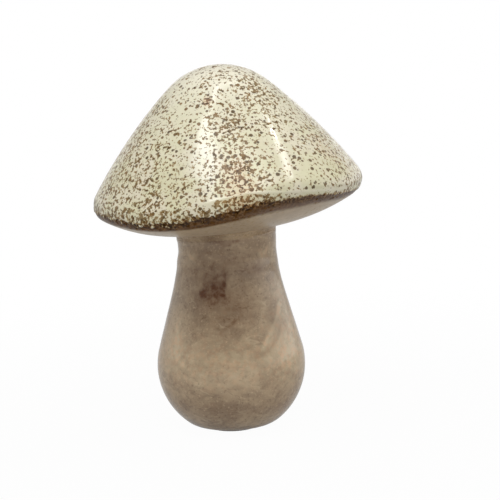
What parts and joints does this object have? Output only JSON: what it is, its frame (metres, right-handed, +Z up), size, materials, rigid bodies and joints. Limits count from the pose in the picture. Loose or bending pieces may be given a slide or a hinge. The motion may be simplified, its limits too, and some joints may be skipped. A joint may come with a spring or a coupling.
{
  "type": "ceramic mushroom ornament",
  "caption": "Glazed ceramic mushroom ornament: hollow cone cap with a waved brim on a hollow bulbous stem that stands on a felt pad.",
  "frame": {"origin": "middle of the felt pad's lower face, on the table", "axes": "+Z up, +X to the viewer's right, -Y towards the viewer; the brim droops at front left and lifts at front right"},
  "size_m": [0.1024, 0.1026, 0.1402],
  "materials": {
    "cap_glaze": "glossy cream glaze with brown iron speckles, and a dark brown band at the brim",
    "stem_glaze": "glossy mottled taupe-brown glaze",
    "slip_clay": "fired joining slip, matt, covered by the glaze",
    "felt": "dark pressed felt"
  },
  "bodies": {
    "root": {"cap_shell": "cap_glaze", "cap_underside": "stem_glaze", "rim_seam": "slip_clay", "stem_shell": "stem_glaze", "neck_seam": "slip_clay", "felt_pad": "felt"}
  },
  "joints": []
}
